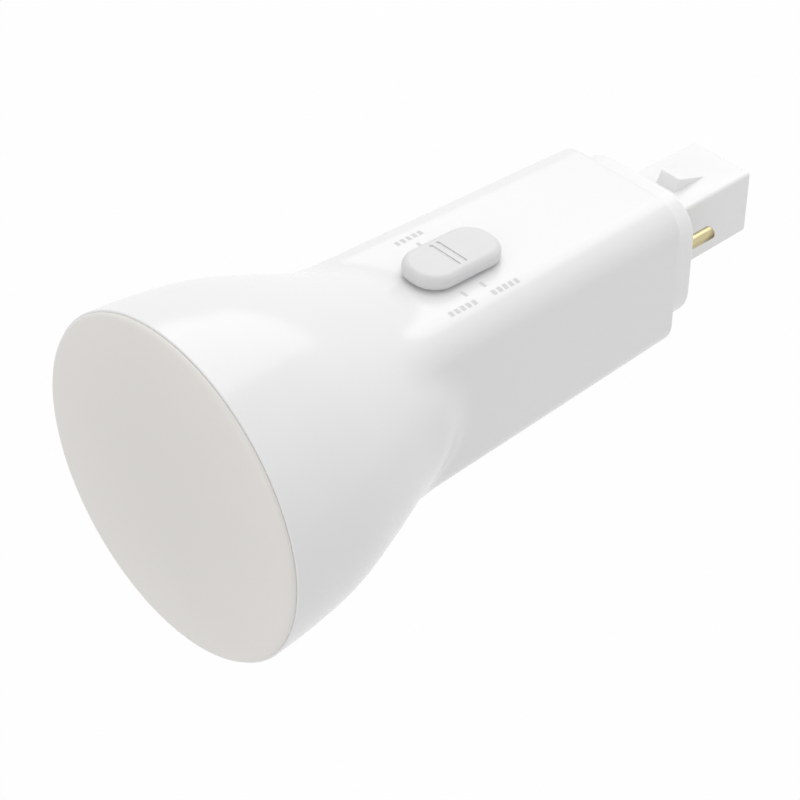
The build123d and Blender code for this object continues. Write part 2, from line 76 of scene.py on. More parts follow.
# Tolerances of distance and direction, and the edge angles past which a bevel acts
TINY, MERGE, LEVEL = 1e-7, 1e-6, 1e-5
FLAT, FACES_UP = math.radians(0.4), 0.9999
KNOB_STEEP, BASE_STEEP = math.radians(28), math.radians(30)

# The knob's two grooves along the lamp, and half the field round them, both from the knob's middle
GROOVES = (-0.0016, -0.0001)
GROOVE_FIELD = (0.0039, 0.003)
SHOULDER_DEPTH = 0.0009

# Each mark: its side, its tick's place, its row's place and the share of the row's run added to that
MARKS = ((1, -0.0039, -0.0041, -1.0), (1, 0.0003, 0.0003, 0.0), (-1, 0.0001, 0.0, -0.5))
MARK_STEPS = 6

# The pins, from the rounded tip back to the solder tail
PIN_SIDES, TIP_STEPS, WALL_STEPS = 56, 8, 7
PIN_RADIUS, PIN_TIP = 0.0012, 0.0005
PIN_RECESS, PIN_SHANK_RADIUS = 0.00015, 0.00095
PIN_SEAT = 0.0024
PIN_HEAD_RADIUS, PIN_HEAD, HEAD_EDGE = 0.00145, 0.0009, 0.00005
PIN_TAIL_RADIUS, TAIL_EDGE = 0.0006, 0.0001
# Painted shade on the pins: its colour, the height below which and the place past which it darkens the
# brass
PIN_SHADE, PIN_SHADE_HEIGHT, PIN_SHADE_PLACE = (0.11, 0.08, 0.03), 0.0036, 0.0058

# LED windows and solder joints, which are like drops, and bands painted on components
DROP_SIDES, DROP_TAPER = 20, 0.72
WINDOW_RADIUS, WINDOW_HEIGHT = 0.00105, 0.00012
SOLDER_RADIUS, SOLDER_HEIGHT = 0.0008, 0.0005
CAN_BAND = (-0.0012, 0.001)
SILVER, GOLD = (0.5, 0.5, 0.52), (0.5, 0.36, 0.08)

# Soft lights: name, place, size and the setting that holds the power
LIGHTS = (
    ("behind_left", (-0.3, 0.4, 0.8), 0.9, "key"),
    ("front", (0.2, -1.0, 0.1), 0.9, "fill"),
    ("behind_right", (0.38, 0.8, 0.18), 1.2, "rear"),
)
LIGHT_AIM = (0.0, -0.05, 0.0)
FLOOR_HALF, FLOOR_GREYS = 6.0, ((0.68, 0.68, 0.68), (0.72, 0.72, 0.72))
SENSOR_WIDTH, CAMERA_CLIP = 36.0, (0.01, 50.0)
WHITE = (1.0, 1.0, 1.0, 1.0)


# Sizes and colours that a user would change


def length(name, description, default):
    return FloatProperty(name=name, description=description, default=default, unit="LENGTH", precision=5)


def colour(name, description, default):
    return FloatVectorProperty(
        name=name, description=description, default=default, subtype="COLOR", size=3, min=0.0, max=1.0
    )


def angle(name, description, degrees):
    return FloatProperty(name=name, description=description, default=math.radians(degrees), subtype="ANGLE")


def power(name, description, default):
    return FloatProperty(name=name, description=description, default=default, unit="POWER")


class LampHousingSizes(bpy.types.PropertyGroup):
    """Sizes of the white mouldings and of the opal cap over the horn's mouth."""

    rim_radius: length("Rim Radius", "Radius of the horn's mouth", HOUSING_HIGH.x)
    rim_place: length("Rim", "Place of the rim along the lamp", HOUSING_LOW.y)
    horn_length: length("Horn Length", "Length of the round horn", 0.0515)
    sleeve_end: length("Sleeve End", "Place where the sleeve stops", HOUSING_HIGH.y)
    end_half: length("Sleeve Half Width", "Half the sleeve's width at its end", 0.0152)
    draft: FloatProperty(name="Draft", description="Widening of the sleeve per length", default=0.0249)
    corner_radius: length("Corner Radius", "Radius of the sleeve's corners", 0.0058)
    neck_blend: length("Neck Blend", "Softness of the change from round to square", 0.0028)
    wall: length("Wall", "Thickness of the moulding", 0.00135)
    edge: length("Edge Radius", "Rounding of the rim and of the sleeve's end", 0.0002)
    crown: length("Diffuser Crown", "How far the middle of the diffuser stands before its edge", 0.00012)
    diffuser_edge: length("Diffuser Edge", "Depth of the rounding round the front of the diffuser", 0.001)
    diffuser_shoulder: length("Diffuser Shoulder", "Width of that rounding", 0.0018)
    diffuser_seam: length("Diffuser Seam", "Radius round the back of the diffuser, at the rim", 0.00016)
    skirt_radius: length("Skirt Radius", "Radius of the diffuser's skirt in the horn", 0.02919)
    skirt_wall: length("Skirt Wall", "Thickness of the diffuser's skirt", 0.0013)
    base_edge: length("Base Edge", "Rounding of the base cap's edges", 0.00018)


class LampSelectorSizes(bpy.types.PropertyGroup):
    """Sizes of the sliding selector's edges and of the marks printed beside it."""

    knob_round: length("Knob Rounding", "Rounding of the knob's shoulder", 0.00042)
    groove_depth: length("Groove Depth", "Depth of the two grooves across the knob", 0.0002)
    slot_length: length("Slot Length", "Length of the slot for the stem", 0.0096)
    slot_width: length("Slot Width", "Width of the slot for the stem", 0.005)
    mark_middle: length("Mark Middle", "Middle line of the marks, across the lamp", 0.0013)
    tick_start: length("Tick Start", "Distance of a tick's inner end from the marks' middle line", 0.0068)
    tick_length: length("Tick Length", "Length of a tick", 0.0015)
    tick_width: length("Tick Width", "Width of a tick", 0.0006)
    stroke_count: IntProperty(name="Strokes", description="Strokes in each row", default=5, min=1, max=12)
    stroke_pitch: length("Stroke Pitch", "Distance between strokes of a row", 0.00128)
    stroke_width: length("Stroke Width", "Width of a stroke", 0.0008)
    stroke_height: length("Stroke Height", "Height of a stroke", 0.00115)
    row_place: length("Row Place", "Distance of the rows from the marks' middle line", 0.0102)
    print_thickness: length("Print Thickness", "Height of the ink over the moulding", 0.000012)


class LampFinish(bpy.types.PropertyGroup):
    """Colours of the finishes."""

    white_gloss: colour("White Gloss", "Housing and base cap", (0.86, 0.86, 0.865))
    opal: colour("Opal", "Diffuser", (0.77, 0.748, 0.714))
    grey_satin: colour("Grey Satin", "Selector knob", (0.745, 0.745, 0.75))
    ink: colour("Ink", "Marks printed beside the selector", (0.64, 0.64, 0.64))
    pin_brass: colour("Pin Brass", "Contact pins", (0.56, 0.49, 0.29))
    bare_aluminium: colour("Bare Aluminium", "Heat spreader", (0.78, 0.79, 0.80))
    white_mask: colour("White Mask", "LED board", (0.82, 0.82, 0.80))
    phosphor_warm: colour("Warm Phosphor", "LED packages of the warm string", (0.90, 0.62, 0.12))
    phosphor_cool: colour("Cool Phosphor", "LED packages of the cool string", (0.88, 0.82, 0.34))
    screw_steel: colour("Screw Steel", "Board screws", (0.66, 0.66, 0.68))
    white_nylon: colour("White Nylon", "LED plug", (0.80, 0.78, 0.72))
    green_board: colour("Green Board", "Driver board", (0.03, 0.17, 0.07))
    ferrite: colour("Ferrite", "Transformer core and choke", (0.05, 0.05, 0.055))
    winding_tape: colour("Winding Tape", "Tape round the transformer", (0.72, 0.50, 0.04))
    can_sleeve: colour("Can Sleeve", "Sleeves of the electrolytic capacitors", (0.02, 0.02, 0.03))
    film_yellow: colour("Film Yellow", "Case of the film capacitor", (0.70, 0.50, 0.06))
    resistor_coat: colour("Resistor Coat", "Fuse resistor", (0.16, 0.30, 0.42))
    varistor_coat: colour("Varistor Coat", "Varistor", (0.02, 0.05, 0.32))
    black_epoxy: colour("Black Epoxy", "Chips, rectifier and switch toggle", (0.018, 0.018, 0.018))
    switch_metal: colour("Switch Metal", "Shell of the slide switch", (0.62, 0.62, 0.64))
    wire_red: colour("Red Wire", "Wires from the pins", (0.45, 0.02, 0.02))
    wire_white: colour("White Wire", "Wires to the LED board", (0.76, 0.76, 0.74))


class LampStageSettings(bpy.types.PropertyGroup):
    """Camera, lights and floor."""

    azimuth: angle("Azimuth", "Camera's turn round the lamp", 47.498)
    elevation: angle("Elevation", "Camera's height angle", 38.895)
    roll: angle("Roll", "Camera's turn about its own view", 0.494)
    camera_place: FloatVectorProperty(
        name="Camera Place", description="Where the camera stands", default=(0.253645, -0.289545, 0.269484),
        size=3, subtype="TRANSLATION", unit="LENGTH",
    )
    lens: FloatProperty(name="Lens", description="Focal length", default=117.0, unit="CAMERA")
    floor_place: length("Floor", "Height of the floor", -0.25)
    floor_glow: FloatProperty(
        name="Floor Glow", description="Share of the floor's own white", default=0.97, subtype="FACTOR"
    )
    sky: FloatProperty(name="Sky", description="Strength of the light from all round", default=0.7)
    key: power("Key Light", "Power of the soft light behind on the left", 3.85)
    fill: power("Fill Light", "Power of the soft light in front", 1.95)
    rear: power("Rear Light", "Power of the soft light behind on the right", 1.1)


# Node trees: one wrapper for sockets, one method for nodes


class Flow:
    """A value on its way through a node tree. Python maths on it adds Math nodes."""

    def __init__(self, tree, socket):
        self.tree = tree
        self.socket = socket

    def math(self, operation, *values):
        return self.tree.value("ShaderNodeMath", {"operation": operation}, dict(enumerate(values)))

    def __add__(self, other):
        return self.math("ADD", self, other)

    def __radd__(self, other):
        return self.math("ADD", other, self)

    def __sub__(self, other):
        return self.math("SUBTRACT", self, other)

    def __rsub__(self, other):
        return self.math("SUBTRACT", other, self)

    def __mul__(self, other):
        return self.math("MULTIPLY", self, other)

    def __rmul__(self, other):
        return self.math("MULTIPLY", other, self)

    def __truediv__(self, other):
        return self.math("DIVIDE", self, other)

    def __rtruediv__(self, other):
        return self.math("DIVIDE", other, self)

    def __gt__(self, other):
        return self.math("GREATER_THAN", self, other)

    def __lt__(self, other):
        return self.math("LESS_THAN", self, other)

    def __abs__(self):
        return self.math("ABSOLUTE", self)

    def max(self, other):
        return self.math("MAXIMUM", self, other)

    def min(self, other):
        return self.math("MINIMUM", self, other)

    def root(self):
        return self.math("SQRT", self)


class Tree:
    """Nodes of a material, a world or a geometry tree."""

    def __init__(self, nodes_of):
        self.nodes = nodes_of.nodes
        self.links = nodes_of.links
        self.nodes.clear()

    def node(self, kind, settings=None, sockets=None):
        """One node: its settings first, then the values or links of its sockets."""
        made = self.nodes.new(kind)
        for name, setting in (settings or {}).items():
            if name == "curve":
                points = made.mapping.curves[0].points
                while len(points) < len(setting):
                    points.new(0.5, 0.5)
                for point, place in zip(points, setting):
                    point.location = place
                made.mapping.use_clip = False
                made.mapping.extend = "EXTRAPOLATED"
                made.mapping.update()
            else:
                setattr(made, name, setting)
        for name, given in (sockets or {}).items():
            if isinstance(given, Flow):
                self.links.new(given.socket, made.inputs[name])
            else:
                made.inputs[name].default_value = given
        return made

    def value(self, kind, settings=None, sockets=None, output=0):
        """The same, as a value for further maths."""
        return Flow(self, self.node(kind, settings, sockets).outputs[output])

    def axes(self, place):
        """X, Y and Z of a place."""
        split = self.node("ShaderNodeSeparateXYZ", None, {0: place})
        return [Flow(self, socket) for socket in split.outputs]

    def mix(self, share, first, second):
        """Colour between two colours."""
        sockets = {0: share, 6: rgba(first), 7: rgba(second)}
        return self.value("ShaderNodeMix", {"data_type": "RGBA"}, sockets, 2)


class Surface(Tree):
    """A material on Object coordinates, with one shader."""

    def __init__(self, name):
        self.material = bpy.data.materials.new(name)
        self.material.use_nodes = True
        super().__init__(self.material.node_tree)
        self.place = self.value("ShaderNodeTexCoord", None, None, "Object")

    def noise(self, scale, detail=2.0, place=None):
        sockets = {"Vector": place or self.place, "Scale": scale, "Detail": detail}
        return self.value("ShaderNodeTexNoise", None, sockets, 0)

    def stretched(self, scale):
        """Object coordinates stretched along the axes."""
        return self.value("ShaderNodeMapping", None, {"Vector": self.place, "Scale": scale})

    def bump(self, height, distance):
        return self.value("ShaderNodeBump", None, {"Height": height, "Distance": distance})

    def finish(self, sockets):
        shader = self.node("ShaderNodeBsdfPrincipled", None, sockets)
        self.node("ShaderNodeOutputMaterial", None, {"Surface": Flow(self, shader.outputs[0])})
        return self.material


def rgba(tint):
    return tint if isinstance(tint, Flow) else (*tint, 1.0)


def shade(tint, factor):
    return tuple(min(1.0, channel * factor) for channel in tint)


# Finishes


def moulded(name, tint, gloss, grain, depth=0.000004):
    """Moulded plastic: faint flow clouds in the colour, uneven gloss and a fine skin."""
    surface = Surface(name)
    clouds = surface.noise(55.0, 3.0)
    skin = surface.noise(grain, 3.0)
    return surface.finish({
        "Base Color": surface.mix(clouds, shade(tint, 0.985), shade(tint, 1.015)),
        "Roughness": gloss + (clouds - 0.5) * 0.08 + (skin - 0.5) * 0.05,
        "Normal": surface.bump(skin, depth),
    })


def white_gloss(tint):
    """Glossy white moulding with a slight orange peel and a little dust-soft unevenness."""
    surface = Surface("white_gloss")
    clouds = surface.noise(42.0, 3.0)
    peel = surface.noise(900.0, 2.0)
    skin = surface.noise(4200.0, 2.0)
    return surface.finish({
        "Base Color": surface.mix(clouds, shade(tint, 0.992), shade(tint, 1.008)),
        "Roughness": 0.2 + (clouds - 0.5) * 0.07 + (skin - 0.5) * 0.05,
        "IOR": 1.5,
        "Normal": surface.bump(peel * 0.8 + skin * 0.2, 0.000006),
    })


def opal(tint):
    """Light-scattering cap: satin skin, fine powder in the plastic and a painted highlight that makes it
    paler towards the edge.
    """
    surface = Surface("opal")
    x, _, z = surface.axes(surface.place)
    reach = (x * x + z * z).root() / OPAL_REACH
    powder = surface.noise(5200.0, 2.0)
    clouds = surface.noise(38.0, 2.0)
    # Painted highlight: paler towards the edge, mixed with the plastic's own clouds and powder
    tone_and_painted_edge_light = (reach * reach * 0.5 + clouds * 0.3 + powder * 0.2).min(1.0)
    return surface.finish({
        "Base Color": surface.mix(tone_and_painted_edge_light, shade(tint, 0.96), shade(tint, 1.09)),
        "Roughness": 0.42 + (powder - 0.5) * 0.1,
        "Normal": surface.bump(powder, 0.000003),
    })


def grey_satin(tint):
    """Selector: eroded mould skin, fine and even."""
    surface = Surface("grey_satin")
    cells = surface.value(
        "ShaderNodeTexVoronoi", {"feature": "F1"}, {"Vector": surface.place, "Scale": 5200.0}, "Distance"
    )
    clouds = surface.noise(240.0, 3.0)
    return surface.finish({
        "Base Color": surface.mix(clouds, shade(tint, 0.96), shade(tint, 1.03)),
        "Roughness": 0.36 + clouds * 0.12,
        "Normal": surface.bump(cells, 0.000012),
    })


def ink(tint):
    """Pad-printed ink with thin spots."""
    surface = Surface("ink")
    spots = surface.noise(3000.0, 3.0)
    return surface.finish({
        "Base Color": surface.mix(spots, shade(tint, 0.85), shade(tint, 1.2)),
        "Roughness": 0.5 + (spots - 0.5) * 0.2,
    })


def brass(tint):
    """Turned brass: fine rings round the pin, slight tarnish and painted shade that darkens its underside
    towards the tip.
    """
    surface = Surface("pin_brass")
    _, y, z = surface.axes(surface.place)
    tarnish = surface.noise(420.0, 4.0)
    # Painted shade: darker brass low on the pin and towards its tip
    low, late = (PIN_SHADE_HEIGHT - z) * 700.0, (y - PIN_SHADE_PLACE) * 330.0
    painted_shade = (low + late + (tarnish - 0.5) * 0.4).max(0.0).min(1.0)
    rings = surface.noise(40.0, 2.0, surface.stretched((4.0, 400.0, 4.0)))
    return surface.finish({
        "Base Color": surface.mix(painted_shade, surface.mix(tarnish, shade(tint, 0.8), tint), PIN_SHADE),
        "Metallic": 1.0,
        "Roughness": 0.24 + tarnish * 0.12,
        "Normal": surface.bump(rings, 0.000004),
    })


def sheet_metal(name, tint, gloss, grain):
    """Rolled or plated metal with a grain along X."""
    surface = Surface(name)
    lines = surface.noise(grain, 3.0, surface.stretched((0.05, 1.0, 1.0)))
    spots = surface.noise(160.0, 3.0)
    return surface.finish({
        "Base Color": surface.mix(spots, shade(tint, 0.92), tint),
        "Metallic": 1.0,
        "Roughness": gloss + (lines - 0.5) * 0.16,
        "Normal": surface.bump(lines, 0.000003),
    })


def circuit_board(tint):
    """Solder mask over copper tracks, drawn as a stepped pattern."""
    surface = Surface("green_board")
    cells = surface.value(
        "ShaderNodeTexVoronoi", {"feature": "F1", "distance": "CHEBYCHEV"},
        {"Vector": surface.place, "Scale": 240.0}, "Distance",
    )
    tracks = (cells < 0.34) * (cells > 0.22)
    weave = surface.noise(2600.0, 2.0)
    return surface.finish({
        "Base Color": surface.mix(tracks, tint, shade(tint, 1.9)),
        "Roughness": 0.34 + weave * 0.1,
        "Normal": surface.bump(tracks + weave * 0.1, 0.00003),
    })


def banded_coat(name, tint, band, low, high, axis):
    """Coated component with a band of another colour round it."""
    surface = Surface(name)
    along = surface.axes(surface.place)[axis]
    stripe = (along > low) * (along < high)
    skin = surface.noise(2200.0, 2.0)
    return surface.finish({
        "Base Color": surface.mix(stripe, surface.mix(skin, shade(tint, 0.9), tint), band),
        "Roughness": 0.3 + skin * 0.12,
        "Normal": surface.bump(skin, 0.000006),
    })


def ferrite(tint):
    """Sintered ceramic: matt, speckled and slightly pitted."""
    surface = Surface("ferrite")
    specks = surface.noise(3400.0, 4.0)
    return surface.finish({
        "Base Color": surface.mix(specks, shade(tint, 0.7), shade(tint, 1.6)),
        "Roughness": 0.62 + (specks - 0.5) * 0.2,
        "Normal": surface.bump(specks, 0.00001),
    })


def tape(tint):
    """Tape wound in layers, with its edges showing as fine steps."""
    surface = Surface("winding_tape")
    z = surface.axes(surface.place)[2]
    layers = z * 900.0
    steps = layers.math("FRACT", layers)
    creases = surface.noise(600.0, 3.0)
    return surface.finish({
        "Base Color": surface.mix(steps, shade(tint, 0.8), shade(tint, 1.05)),
        "Roughness": 0.28 + creases * 0.15,
        "Normal": surface.bump(steps * 0.6 + creases * 0.4, 0.00002),
    })


# Meshes


def finished(name, mesh, material, body, nodes=()):
    """The piece of this mesh, with its finish, on its body and in place of its nodes."""
    piece = bpy.data.objects.new(name, mesh)
    bpy.context.scene.collection.objects.link(piece)
    mesh.materials.clear()
    mesh.materials.append(material)
    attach(piece, body)
    if nodes:
        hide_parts(*nodes)
    return piece


def dress(node, material):
    """A finish on a node that stays as it is."""
    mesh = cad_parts[node].data
    mesh.materials.clear()
    mesh.materials.append(material)


def baked(name, mesh, steps):
    """The plain mesh that modifiers make of a mesh. Each step is a type and its settings."""
    worker = bpy.data.objects.new(name, mesh)
    bpy.context.scene.collection.objects.link(worker)
    for kind, chosen in steps:
        modifier = worker.modifiers.new(kind.title(), kind)
        for key, setting in chosen.items():
            if kind == "NODES" and key != "node_group":
                modifier[key] = setting
            else:
                setattr(modifier, key, setting)
    graph = bpy.context.evaluated_depsgraph_get()
    made = bpy.data.meshes.new_from_object(worker.evaluated_get(graph), depsgraph=graph)
    worker.modifiers.clear()
    bpy.data.objects.remove(worker)
    made.name = name
    if not made.polygons:
        raise RuntimeError(f"{name} came out empty")
    return made


def smooth(mesh, angle=35.0):
    """Smooth shading, kept sharp over steep edges."""
    mesh.shade_smooth()
    mesh.set_sharp_from_angle(angle=math.radians(angle))
    return mesh


def plain(name, mesh):
    """What a bmesh holds, as mesh data."""
    made = bpy.data.meshes.new(name)
    mesh.to_mesh(made)
    mesh.free()
    return made


def turned(name, profile, count, centre=(0.0, 0.0)):
    """Closed shape turned round an axis along Y, from (radius, y) points that start and end on the axis."""
    mesh = bmesh.new()
    rings = []
    for radius, y in profile:
        if radius < TINY:
            rings.append([mesh.verts.new((centre[0], y, centre[1]))])
            continue
        turns = [2 * math.pi * i / count for i in range(count)]
        rings.append([
            mesh.verts.new((centre[0] + radius * math.cos(t), y, centre[1] + radius * math.sin(t)))
            for t in turns
        ])
    for first, second in zip(rings, rings[1:]):
        for i in range(count):
            loop = [first[i % len(first)], first[(i + 1) % len(first)]]
            loop += [second[(i + 1) % len(second)], second[i % len(second)]]
            mesh.faces.new(list(dict.fromkeys(loop)))
    bmesh.ops.recalc_face_normals(mesh, faces=mesh.faces)
    return plain(name, mesh)


def arc(centre, radius, first, last, count):
    """Points of an arc, by angles in degrees."""
    turns = [math.radians(first + (last - first) * i / count) for i in range(count + 1)]
    return [(centre[0] + radius * math.cos(t), centre[1] + radius * math.sin(t)) for t in turns]


def merged_copy(name, node, cuts=()):
    """A node's mesh with its loose triangles joined and flat faces cleaned, split across Y at the cuts."""
    mesh = bmesh.new()
    mesh.from_mesh(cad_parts[node].data)
    bmesh.ops.remove_doubles(mesh, verts=mesh.verts, dist=MERGE)
    for y in cuts:
        every = [*mesh.verts, *mesh.edges, *mesh.faces]
        split = bmesh.ops.bisect_plane(
            mesh, geom=every, dist=TINY, plane_co=(0.0, y, 0.0), plane_no=(0.0, 1.0, 0.0)
        )
        for part in split["geom_cut"]:
            if isinstance(part, bmesh.types.BMEdge):
                part.seam = True
    bmesh.ops.dissolve_limit(mesh, angle_limit=FLAT, verts=mesh.verts, edges=mesh.edges, delimit={"SEAM"})
    return plain(name, mesh)


def in_grooves(place):
    """Whether a place is in the middle of the knob, where its grooves are."""
    across, along = abs(place.x - KNOB_MIDDLE.x), abs(place.y - KNOB_MIDDLE.y)
    return across < GROOVE_FIELD[0] and along < GROOVE_FIELD[1]


def knob_blank(name, up):
    """The knob's mesh with its shoulder's edges marked for rounding, and the height of its top face."""
    mesh = bmesh.new()
    mesh.from_mesh(merged_copy(name, "selector_knob", [KNOB_MIDDLE.y + place for place in GROOVES]))
    top = max(up.dot(vert.co) for vert in mesh.verts)
    marked = mesh.edges.layers.float.new("bevel_weight_edge")
    for edge in mesh.edges:
        high = all(top - up.dot(vert.co) < SHOULDER_DEPTH for vert in edge.verts)
        outer = not any(in_grooves(vert.co) for vert in edge.verts)
        if high and outer and edge.calc_face_angle() > KNOB_STEEP:
            edge[marked] = 1.0
    return plain(name, mesh), top


def package_centres(node):
    """Middle of each separate package of a node."""
    mesh = bmesh.new()
    mesh.from_mesh(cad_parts[node].data)
    bmesh.ops.remove_doubles(mesh, verts=mesh.verts, dist=MERGE)
    left, centres = set(mesh.verts), []
    while left:
        queue, found = [left.pop()], []
        while queue:
            vert = queue.pop()
            found.append(vert.co)
            near = {edge.other_vert(vert) for edge in vert.link_edges} & left
            left -= near
            queue += near
        low = Vector([min(co[i] for co in found) for i in range(3)])
        high = Vector([max(co[i] for co in found) for i in range(3)])
        centres.append((low + high) / 2)
    mesh.free()
    return sorted(centres, key=lambda c: (round(c.x, 6), round(c.z, 6)))


def joined(name, meshes):
    """Several meshes as one."""
    mesh = bmesh.new()
    for part in meshes:
        mesh.from_mesh(part)
    return plain(name, mesh)


def group(name, **labels):
    """An empty geometry tree with inputs named by kind, and the flows that come out of them."""
    nodes = bpy.data.node_groups.new(name, "GeometryNodeTree")
    identifiers = {}
    for kind, named in {"Geometry": ("Geometry",), **labels, "Material": ("Material",)}.items():
        for label in named:
            socket = nodes.interface.new_socket(label, in_out="INPUT", socket_type=f"NodeSocket{kind}")
            identifiers[label] = socket.identifier
    nodes.interface.new_socket("Geometry", in_out="OUTPUT", socket_type="NodeSocketGeometry")
    tree = Tree(nodes)
    entry = tree.node("NodeGroupInput")
    flows = {label: Flow(tree, entry.outputs[label]) for label in identifiers}
    return nodes, tree, identifiers, flows


def close_group(tree, geometry, material):
    """Realize Instances and Set Material at the end of a tree."""
    real = tree.value("GeometryNodeRealizeInstances", None, {0: geometry})
    painted = tree.value("GeometryNodeSetMaterial", None, {"Geometry": real, "Material": material})
    tree.node("NodeGroupOutput", None, {0: painted})


def skin_rule():
    """Tree that gives a tube the housing's shape: a horn that turns into a rounded square."""
    nodes, tree, identifiers, flows = group("HousingSkin", Float=(
        "Rim Radius", "Rim", "Horn Length", "Sleeve End", "End Half", "Draft", "Corner", "Neck Blend",
    ))
    x, y, z = tree.axes(tree.value("GeometryNodeInputPosition"))
    inset = tree.value("GeometryNodeInputNamedAttribute", {"data_type": "FLOAT"}, {"Name": "inset"})
    ring = tree.value("GeometryNodeInputNamedAttribute", {"data_type": "FLOAT"}, {"Name": "ring"})
    step = (y - flows["Rim"]) / flows["Horn Length"]
    share = tree.value("ShaderNodeFloatCurve", {"curve": HORN_CURVE}, {"Factor": 1.0, "Value": step})
    horn = flows["Rim Radius"] * share - inset
    half = flows["End Half"] + flows["Draft"] * (flows["Sleeve End"] - y) - inset
    corner = flows["Corner"] - inset
    straight = half - corner
    wide, narrow = abs(x).max(abs(z)), abs(x).min(abs(z))
    reach = straight * (wide + narrow)
    room = (reach * reach - 2.0 * straight * straight + corner * corner).max(0.0)
    rounded = reach + room.root()
    at_corner = narrow / wide > straight / half
    sleeve = at_corner * rounded + (1.0 - at_corner) * (half / wide)
    skin = horn.math("SMOOTH_MAX", horn, sleeve, flows["Neck Blend"])
    turned_part = ring > 0.0
    radius = turned_part * ring + (1.0 - turned_part) * skin
    moved = tree.value("ShaderNodeCombineXYZ", None, {0: x * radius, 1: y, 2: z * radius})
    placed = tree.value("GeometryNodeSetPosition", None, {"Geometry": flows["Geometry"], "Position": moved})
    close_group(tree, placed, flows["Material"])
    return nodes, identifiers


def tube(name, rows, count):
    """Closed tube of unit radius, one ring for each (y, inset, ring radius) row, for the skin's rule."""
    mesh = bmesh.new()
    inset = mesh.verts.layers.float.new("inset")
    ring = mesh.verts.layers.float.new("ring")
    rings = []
    for y, depth, radius in rows:
        loop = []
        for i in range(count):
            turn = 2 * math.pi * i / count
            vert = mesh.verts.new((math.cos(turn), y, math.sin(turn)))
            vert[inset], vert[ring] = depth, radius
            loop.append(vert)
        rings.append(loop)
    for first, second in zip(rings, rings[1:] + rings[:1]):
        for i in range(count):
            j = (i + 1) % count
            mesh.faces.new((first[i], second[i], second[j], first[j]))
    return plain(name, mesh)


def housing_rows(sizes):
    """Rings of the housing: rim edge, outer skin, sleeve end and inner skin back to the rim."""
    rim, end, edge = sizes.rim_place, sizes.sleeve_end, sizes.edge
    rows = []
    for radius, y in arc((sizes.rim_radius - edge, rim + edge), edge, -90, 0, EDGE_STEPS)[:-1]:
        rows.append((y, 0.0, radius))
    run = end - rim - 2 * edge
    rows += [(rim + edge + run * i / SKIN_ROWS, 0.0, 0.0) for i in range(SKIN_ROWS + 1)]
    for inset, y in arc((0.0, end - edge), edge, 0, 90, EDGE_STEPS)[1:]:
        rows.append((y, edge - inset, 0.0))
    rows += [(end + (rim - end) * i / INNER_ROWS, sizes.wall, 0.0) for i in range(INNER_ROWS + 1)]
    return rows


def slot_cutter(sizes, selector):
    """Block that cuts the slot for the stem through the top wall."""
    height = sizes.end_half + sizes.draft * (sizes.sleeve_end - KNOB_MIDDLE.y)
    mesh = bmesh.new()
    bmesh.ops.create_cube(mesh, size=1.0)
    scale = Matrix.Diagonal((selector.slot_width, selector.slot_length, 4 * sizes.wall, 1.0))
    turn = Matrix.Rotation(-math.atan(sizes.draft), 4, "X")
    place = Matrix.Translation((KNOB_MIDDLE.x, KNOB_MIDDLE.y, height))
    bmesh.ops.transform(mesh, matrix=place @ turn @ scale, verts=mesh.verts)
    return plain("slot_cutter", mesh)


def mark_rule():
    """Tree that prints one mark: a tick and a row of strokes, wrapped over the top face and its corners."""
    nodes, tree, identifiers, flows = group(
        "PositionMark", Vector=("Tick Place", "Tick Size", "Row Start", "Row Step", "Stroke Size"),
        Int=("Strokes",), Float=("Sleeve End", "End Half", "Draft", "Corner"),
    )
    tick, stroke = (
        tree.value("GeometryNodeMeshCube", None, {"Size": flows[size], "Vertices X": MARK_STEPS})
        for size in ("Tick Size", "Stroke Size")
    )
    tick = tree.value("GeometryNodeTransform", None, {"Geometry": tick, "Translation": flows["Tick Place"]})
    row = tree.value("GeometryNodeMeshLine", {"mode": "OFFSET"}, {
        "Count": flows["Strokes"], "Start Location": flows["Row Start"], "Offset": flows["Row Step"],
    })
    strokes = tree.value("GeometryNodeInstanceOnPoints", None, {"Points": row, "Instance": stroke})
    both = tree.node("GeometryNodeJoinGeometry")
    for part in (tick, strokes):
        tree.links.new(part.socket, both.inputs[0])
    flat = tree.value("GeometryNodeRealizeInstances", None, {0: Flow(tree, both.outputs[0])})
    x, y, z = tree.axes(tree.value("GeometryNodeInputPosition"))
    corner = flows["Corner"]
    half = flows["End Half"] + flows["Draft"] * (flows["Sleeve End"] - y)
    past = (abs(x) - half + corner).max(0.0)
    bend = (corner * corner - past * past).root()
    place = tree.value("ShaderNodeCombineXYZ", None, {0: x, 1: y, 2: half - corner + bend + z})
    laid = tree.value("GeometryNodeSetPosition", None, {"Geometry": flat, "Position": place})
    close_group(tree, laid, flows["Material"])
    return nodes, identifiers


def drop_rule():
    """Tree that sets small turned drops on points, facing along the lamp or up."""
    nodes, tree, identifiers, flows = group("Drops", Float=("Radius", "Height"), Vector=("Turn",))
    drop = tree.value("GeometryNodeMeshCone", None, {
        "Vertices": DROP_SIDES, "Side Segments": 2, "Radius Top": flows["Radius"] * DROP_TAPER,
        "Radius Bottom": flows["Radius"], "Depth": flows["Height"],
    })
    points = tree.value("GeometryNodeMeshToPoints", None, {"Mesh": flows["Geometry"]})
    drops = tree.value("GeometryNodeInstanceOnPoints", None, {
        "Points": points, "Instance": drop, "Rotation": flows["Turn"],
    })
    close_group(tree, drops, flows["Material"])
    return nodes, identifiers


def drops(name, places, radius, height, turn, material):
    """Drops at these places, as one mesh."""
    seeds = bpy.data.meshes.new(name)
    seeds.from_pydata(places, [], [])
    nodes, key = drop_rule()
    return smooth(baked(name, seeds, [("NODES", {
        "node_group": nodes, key["Radius"]: radius, key["Height"]: height, key["Turn"]: turn,
        key["Material"]: material,
    })]))


# One operator for each piece or group of like pieces


